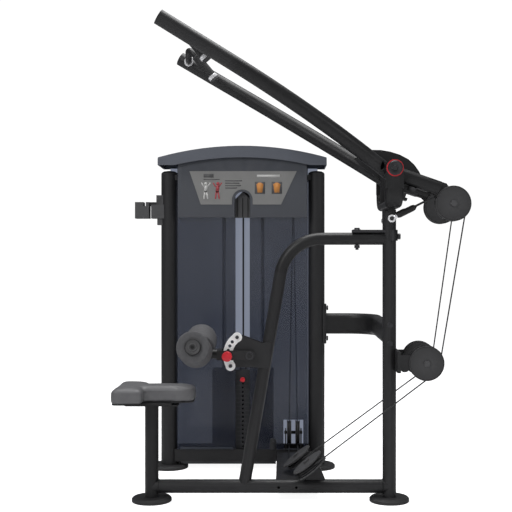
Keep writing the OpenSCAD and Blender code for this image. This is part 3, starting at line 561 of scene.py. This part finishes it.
# ---------- foam rollers ----------
TILT = math.radians(12)               # of each roller's axle
ROLL = Vector((-0.844, 0, 0.648))     # where the two axles meet
HELD_RADIUS = 0.060                   # the bore and most of each end face stay put
ROLLER_CAP = [(0, 0.2378), (0.0340, 0.2378), (0.0338, 0.2455), (0.031, 0.2466), (0.027, 0.2452),
              (0.0175, 0.2455), (0.017, 0.2488), (0.013, 0.2482), (0.0125, 0.2462),
              (0.0065, 0.2462), (0.006, 0.2475), (0, 0.2475)]
ROLLER_LIP = [(0.0300, 0.2463), (0.0300, 0.2476), (0.0316, 0.2482), (0.0332, 0.2476),
              (0.0342, 0.2455)]
ROLLER_BOLT = [(0, 0.2478), (0.0055, 0.2478), (0.0055, 0.2499), (0.0115, 0.2499),
               (0.0125, 0.2489), (0.0125, 0.2465)]


def roller_profile(bore=0.0122, r=0.0705, soft=0.003, z0=0.0615, z1=0.2355):
    """Closed half section of a foam roller: rounded rims, and a recess for the cap at its end."""
    quarter = [math.pi / 2 * k / 4 for k in range(5)]
    inner = [(r - soft + soft * math.sin(t), z0 + soft - soft * math.cos(t)) for t in quarter[1:]]
    outer = [(r - soft + soft * math.cos(t), z1 - soft + soft * math.sin(t)) for t in quarter]
    return [(bore, z0), (r - soft, z0), *inner, *outer,
            (0.040, z1), (0.036, z1 - 0.002), (bore, z1 - 0.002), (bore, z0)]


for side, sign in (("right", -1), ("left", 1)):
    e = Vector((0, sign * math.cos(TILT), math.sin(TILT)))

    def near_axle(p, e=e):
        return ((p - ROLL) - e * (p - ROLL).dot(e)).length < HELD_RADIUS

    bm = lathe(roller_profile(), e, ROLL, 96)
    bmesh.ops.remove_doubles(bm, verts=bm.verts, dist=1e-5)
    roller = make(f"{side}_foam_roller", bm, foam, None, 0)
    remesh(roller, 0.005)
    inflate(roller, 3.0, 12, 0.005, near_axle)
    soften(roller, 2, f"{side}_foam", f"{side}_roller")
    make(f"{side}_roller_cap", lathe(ROLLER_CAP, e, ROLL), cap_grey, "pad_lever", 35)
    make(f"{side}_roller_lip", lathe(ROLLER_LIP, e, ROLL), ring_black, "pad_lever", 35)
    make(f"{side}_roller_bolt", lathe(ROLLER_BOLT, e, ROLL, 6), ring_black, "pad_lever", 35)


# ---------- cable: straight runs stand fixed, the rest rides ------------------
def arc(c, r, u, v, a0, a1, k=16):
    """Points on the circle about c in the plane of u and v, from a0 to a1 degrees."""
    angles = [math.radians(a0 + (a1 - a0) * i / k) for i in range(k + 1)]
    return [Vector(c) + r * (Vector(u) * math.cos(t) + Vector(v) * math.sin(t)) for t in angles]


def run(p, q, k=24):
    """Points on the straight line from p to q."""
    p, q = Vector(p), Vector(q)
    return [p + (q - p) * i / k for i in range(k + 1)]


def touch(c, r, p):
    """Angle in XZ at which the line from p touches the circle, over its top."""
    x, z = p[0] - c[0], p[2] - c[2]
    return math.degrees(math.atan2(z, x) - math.acos(r / math.hypot(x, z))) % 360


def cord(name, path, body=None):
    return make(name, tube(path, CABLE, 12), cable_skin, body, 0)


X, Y, Z = (1, 0, 0), (0, 1, 0), (0, 0, 1)
GROOVE, CABLE = 0.059, 0.003          # radius of the cable's line on a pulley, and of the cable
SLOPE = math.radians(38.9)            # of the runs from the middle to the base pulleys
UP = (math.cos(SLOPE), 0, math.sin(SLOPE))
STACK_X, TOWER_Y, TOP_Z = -0.6735, 0.748, 1.424
PLATES, PITCH = 17, 0.0213
HEAD_Z = 0.1 + PLATES * PITCH + 0.038 + 0.052     # axle of the stack's head pulley
HEAD_GROOVE = 0.036                   # also how far the two runs lie from the tower's middle
LEAVE = 0.03                          # share of the drop drawn in finer steps
SLEEVE = [(0, 0.024), (0.008, 0.024), (0.0105, 0.027), (0.0130, 0.034), (0.0134, 0.040),
          (0.0134, 0.098), (0.0110, 0.108), (0.0050, 0.114), (0.0032, 0.118), (0, 0.118)]
FERRULE = [(0, 0.012), (0.0085, 0.012), (0.0095, 0.014), (0.0095, 0.022), (0.0080, 0.025),
           (0, 0.025)]
EYE = [(0.0092, -0.0045), (0.0155, -0.0045), (0.0168, -0.0030), (0.0168, 0.0030),
       (0.0155, 0.0045), (0.0092, 0.0045), (0.0092, -0.0045)]
for side, s, base, low_x in (("right", -1, (-0.352, -0.056, 0.169), -0.395),
                             ("left", 1, (-0.3958, 0.174, 0.150), -0.438)):
    arm_c, mid_c = (0.251, s * 0.168, 1.300), (0.146, s * 0.115, 0.620)
    arm_body = f"{side}_press_arm"
    eye = (-0.005, s * 0.150, 1.238)
    run_y = TOWER_Y + s * HEAD_GROOVE
    down = math.degrees(math.atan2(arm_c[2] - mid_c[2], arm_c[0] - mid_c[0])) - 90
    over = arc(arm_c, GROOVE, X, Z, touch(arm_c, GROOVE, eye), down)
    mid = arc(mid_c, GROOVE, X, Z, down, math.degrees(SLOPE) - 90)
    low = arc(base, GROOVE, UP, Y, -90, -180)
    bottom = arc((low_x, 0.689, 0.182), GROOVE, Y, Z, -90, 0)
    top = arc((-0.4755, run_y, TOP_Z), GROOVE, X, Z, 0, 90)
    centre = arc((-0.6145, run_y, TOP_Z), GROOVE, X, Z, 90, 180)

    lead = cord(f"{side}_cable_lead", run(eye, over[0], 40))
    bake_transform(lead)
    cord(f"{side}_cable_over_arm_pulley", over, arm_body)
    leaves = over[-1] + (mid[0] - over[-1]) * LEAVE
    drop = cord(f"{side}_cable_drop", run(over[-1], leaves, 24)[:-1] + run(leaves, mid[0], 12))
    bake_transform(drop)
    cord(f"{side}_cable_run", mid + low + bottom + top + centre, "frame")
    down_to = Vector((STACK_X, run_y, HEAD_Z))
    lift = cord(f"{side}_cable_lift", run(centre[-1], down_to, 24))
    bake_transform(lift)

    # eye, ferrule and adjuster sleeve at the cable's fixed end
    e = (over[0] - Vector(eye)).normalized()
    make(f"{side}_cable_sleeve", lathe(SLEEVE, e, eye, 32), rubber_black, "frame", 35)
    make(f"{side}_cable_ferrule", lathe(FERRULE, e, eye, 24), chrome, "frame", 35)
    make(f"{side}_cable_eye", lathe(EYE, Y, eye, 40), chrome, "frame", 35)
wrap = cord("cable_under_head_pulley",
            arc((STACK_X, TOWER_Y, HEAD_Z), HEAD_GROOVE, Y, Z, -180, 0), "lifted_stack")
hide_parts("cable")


# ---------- hub, pulley and bolt details ----------
def detail(name, profile, place, axis, mat, body, steps=48):
    return make(name, lathe(profile, axis, place, steps), mat, body, 35)


HUB_CAP = [(0, 0.0002), (0.0312, 0.0002), (0.0309, 0.0075), (0.0275, 0.0108), (0.0135, 0.0108),
           (0.0125, 0.0102), (0, 0.0102)]
HUB_BOLT = [(0, 0.0101), (0.0105, 0.0101), (0.0105, 0.0125), (0.0095, 0.0133), (0.0062, 0.0133),
            (0.006, 0.0112), (0, 0.0112)]
COVER_FACE = 0.0256                   # from the pulley's middle to the outside of its cover
COVER_RIM = [(0.0100, 0.0), (0.0100, 0.0012), (0.0690, 0.0012), (0.0700, 0.0004),
             (0.0712, 0.0004), (0.0722, 0.0012), (0.0740, 0.0008), (0.0751, -0.0008),
             (0.0751, -0.0050)]
COVER_RIM = [(r, COVER_FACE + z) for r, z in COVER_RIM]
COLLAR = [(0.0151, 0.0), (0.0205, 0.0), (0.0215, 0.0015), (0.0215, 0.0105), (0.0205, 0.012),
          (0.0151, 0.012)]
GRIP_RING = [(0.0195, 0.0), (0.0222, 0.0), (0.0232, 0.0012), (0.0232, 0.0148), (0.0222, 0.016),
             (0.0195, 0.016)]
GRIP_RIBS = []
for k in range(26):
    z = 0.056 + k * 0.0042
    GRIP_RIBS += [(0.0193, z), (0.0200, z + 0.0012), (0.0200, z + 0.0026), (0.0193, z + 0.0038)]
for side, s in (("right", -1), ("left", 1)):
    arm = f"{side}_press_arm"
    # machined cap with a chamfer and a socket bolt
    hub, out = (0, s * 0.2342, 1.446), (0, s, 0)
    detail(f"{side}_hub_cap", HUB_CAP, hub, out, alu_cap, "frame", 64)
    detail(f"{side}_hub_bolt", HUB_BOLT, hub, out, oxide, "frame", 36)
    for where, c, body in (("arm", (0.251, s * 0.168, 1.300), arm),
                           ("mid", (0.146, s * 0.115, 0.620), "frame")):
        for face in (-1, 1):
            end = "in" if face * s < 0 else "out"
            detail(f"{side}_{where}_cover_rim_{end}", COVER_RIM, c, (0, face, 0), cover_nylon,
                   body, 72)
    # chrome collar and ring on the handle, ribs on its grip
    root, elbow, tip = (Vector((-0.922, s * 0.410, 2.003)), Vector((-0.906, s * 0.236, 2.045)),
                        Vector((-0.787, s * 0.236, 1.902)))
    u = (elbow - root).normalized()
    g = (tip - elbow).normalized()
    detail(f"{side}_handle_collar", COLLAR, root + u * 0.016, u, chrome, arm)
    detail(f"{side}_grip_ring", GRIP_RING, tip - g * 0.016, g, chrome, arm)
    detail(f"{side}_grip_ribs", GRIP_RIBS, elbow, g, grip_rubber, arm)

# knob and barrel of the pop pin
PIN_AT, TOWARDS = (-0.709, 0, 0.645), (0, -1, 0)
detail("pop_pin_knob", [(0, 0.1090), (0.0150, 0.1088), (0.0195, 0.1070), (0.0216, 0.1030),
                        (0.0216, 0.0990), (0.0200, 0.0960), (0.0212, 0.0930), (0.0200, 0.0780),
                        (0.0120, 0.0755), (0, 0.0755)], PIN_AT, TOWARDS, red, "pad_lock", 64)
detail("pop_pin_barrel", [(0.0105, 0.0765), (0.0132, 0.0755), (0.0132, 0.0620), (0.0120, 0.0600),
                          (0.0072, 0.0562)], PIN_AT, TOWARDS, zinc, "pad_lever", 48)

# washers under two bolts of the main post, the clamp bolt and the pad arm's pivot
for i, (place, axis, r, body) in enumerate((
        ((0.0, -0.0302, 0.775), TOWARDS, 0.0135, "frame"),
        ((0.0, -0.0302, 0.695), TOWARDS, 0.0135, "frame"),
        ((-0.142, 0, 1.1937), Z, 0.0165, "frame"),
        ((-0.613, -0.0563, 0.645), TOWARDS, 0.0180, "pad_lever"))):
    detail(f"washer_{i}", [(0, 0.0022), (r - 0.001, 0.0022), (r, 0.0014), (r, 0.0), (0, 0.0)],
           place, axis, oxide, body, 40)


# ---------- tower's front: liner in the header's notch, sill, tray strip, bolted tab ----------
def front_plate(name, points, y, depth, mat, bevel=0.0):
    """Flat piece drawn in XZ, its back at y, reaching depth towards the user."""
    return make(name, prism(points, depth, Matrix.Translation((0, y, 0)) @ FRONT), mat, "frame",
                30, bevel)


def box_outline(x0, z0, x1, z1):
    return [(x0, z0), (x1, z0), (x1, z1), (x0, z1)]


front_plate("header_liner", [(-0.7115, 1.272), (-0.6355, 1.272), (-0.6355, 1.366),
                             (STACK_X, 1.404), (-0.7115, 1.366)], 0.6612, 0.002, rubber_black)
for i, x in enumerate((-0.700, STACK_X, -0.647)):
    make(f"header_liner_rib_{i}", tube([(x, 0.6578, 1.276), (x, 0.6578, 1.372)], 0.002, 10),
         frame_black, "frame", 30)
front_plate("panel_sill", box_outline(-0.990, 0.102, -0.722, 0.112), 0.6618, 0.004, shroud_blue,
            0.001)
front_plate("tray_strip", box_outline(-0.985, 0.0268, -0.505, 0.0398), 0.6760, 0.014, alu_cap,
            0.001)
front_plate("tray_tab", [(-0.536, 0.100), (-0.504, 0.100), (-0.504, 0.148), (-0.512, 0.156),
                         (-0.528, 0.156), (-0.536, 0.148)], 0.6600, 0.003, alu_cap, 0.0006)
detail("tray_tab_bolt", [(0, 0.0050), (0.0075, 0.0050), (0.0085, 0.0040), (0.0085, 0.0002),
                         (0, 0.0002)], (-0.520, 0.6570, 0.136), TOWARDS, oxide, "frame", 6)

# weld beads where the frame tubes meet
BEAD_R = 0.0312
BEAD = [(BEAD_R - 0.0012, -0.0022), (BEAD_R + 0.0010, -0.0012), (BEAD_R + 0.0012, 0.0006),
        (BEAD_R - 0.0012, 0.0024)]
for i, (place, axis) in enumerate((((0, 0, 0.0222), Z), ((-1.045, 0, 0.0222), Z),
                                   ((-0.0305, 0, 0.066), X), ((-1.0145, 0, 0.066), X))):
    detail(f"weld_{i}", BEAD, place, axis, frame_black, "frame", 64)


# ---------- placard: generic pictograms, no lettering ----------
PLACARD_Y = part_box("placard")[0][1] - 0.0002
INK = 0.0004                          # thickness of the print


def ink(name, points, mat, lift=0.0):
    m = Matrix.Translation((0, PLACARD_Y - lift, 0)) @ FRONT
    return make(name, prism(points, INK, m), mat, "frame", 0)


def figure(name, x, z, h, mat, lean=0.0):
    """Plain standing figure made of a round head and pointed bars."""
    ink(f"{name}_head", ring_points(x + lean, z + h * 0.88, h * 0.10, 20), mat)

    def limb(tag, x0, z0, x1, z1, w):
        d = Vector((x1 - x0, z1 - z0)).normalized() * w / 2
        n = Vector((-d.y, d.x))
        ink(f"{name}_{tag}", [(x0 + n.x, z0 + n.y), (x0 - d.x, z0 - d.y), (x0 - n.x, z0 - n.y),
                              (x1 - n.x, z1 - n.y), (x1 + d.x, z1 + d.y),
                              (x1 + n.x, z1 + n.y)], mat)
    limb("trunk", x, z + h * 0.42, x + lean, z + h * 0.74, h * 0.20)
    limb("leg_a", x - h * 0.05, z + h * 0.42, x - h * 0.10, z, h * 0.09)
    limb("leg_b", x + h * 0.05, z + h * 0.42, x + h * 0.12, z, h * 0.09)
    limb("arm_a", x - h * 0.10, z + h * 0.70, x - h * 0.24, z + h * 0.92, h * 0.07)
    limb("arm_b", x + h * 0.10, z + h * 0.70, x + h * 0.26, z + h * 0.92, h * 0.07)


def bar(name, x0, z0, x1, z1, mat):
    ink(name, box_outline(x0, z0, x1, z1), mat)


figure("guide_a", -0.858, 1.368, 0.085, white_ink)
figure("guide_b", -0.800, 1.368, 0.085, red_ink, 0.004)
for k, w in enumerate((0.085, 0.072, 0.080, 0.060)):
    bar(f"caption_left_{k}", -0.760, 1.455 - k * 0.012, -0.760 + w, 1.460 - k * 0.012, dark_ink)
bar("frame_icon", -0.868, 1.462, -0.788, 1.466, dark_ink)
bar("frame_icon_b", -0.868, 1.474, -0.818, 1.492, dark_ink)
for k, x in enumerate((-0.585, -0.500)):
    bar(f"muscle_card_{k}", x - 0.026, 1.392, x + 0.026, 1.452, dark_ink)
    ink(f"muscle_back_{k}", [(x - 0.018, 1.440), (x - 0.012, 1.398), (x + 0.012, 1.398),
                             (x + 0.018, 1.440), (x + 0.006, 1.448), (x - 0.006, 1.448)],
        orange_ink, INK)
bar("title_bar", -0.600, 1.476, -0.485, 1.488, white_ink)
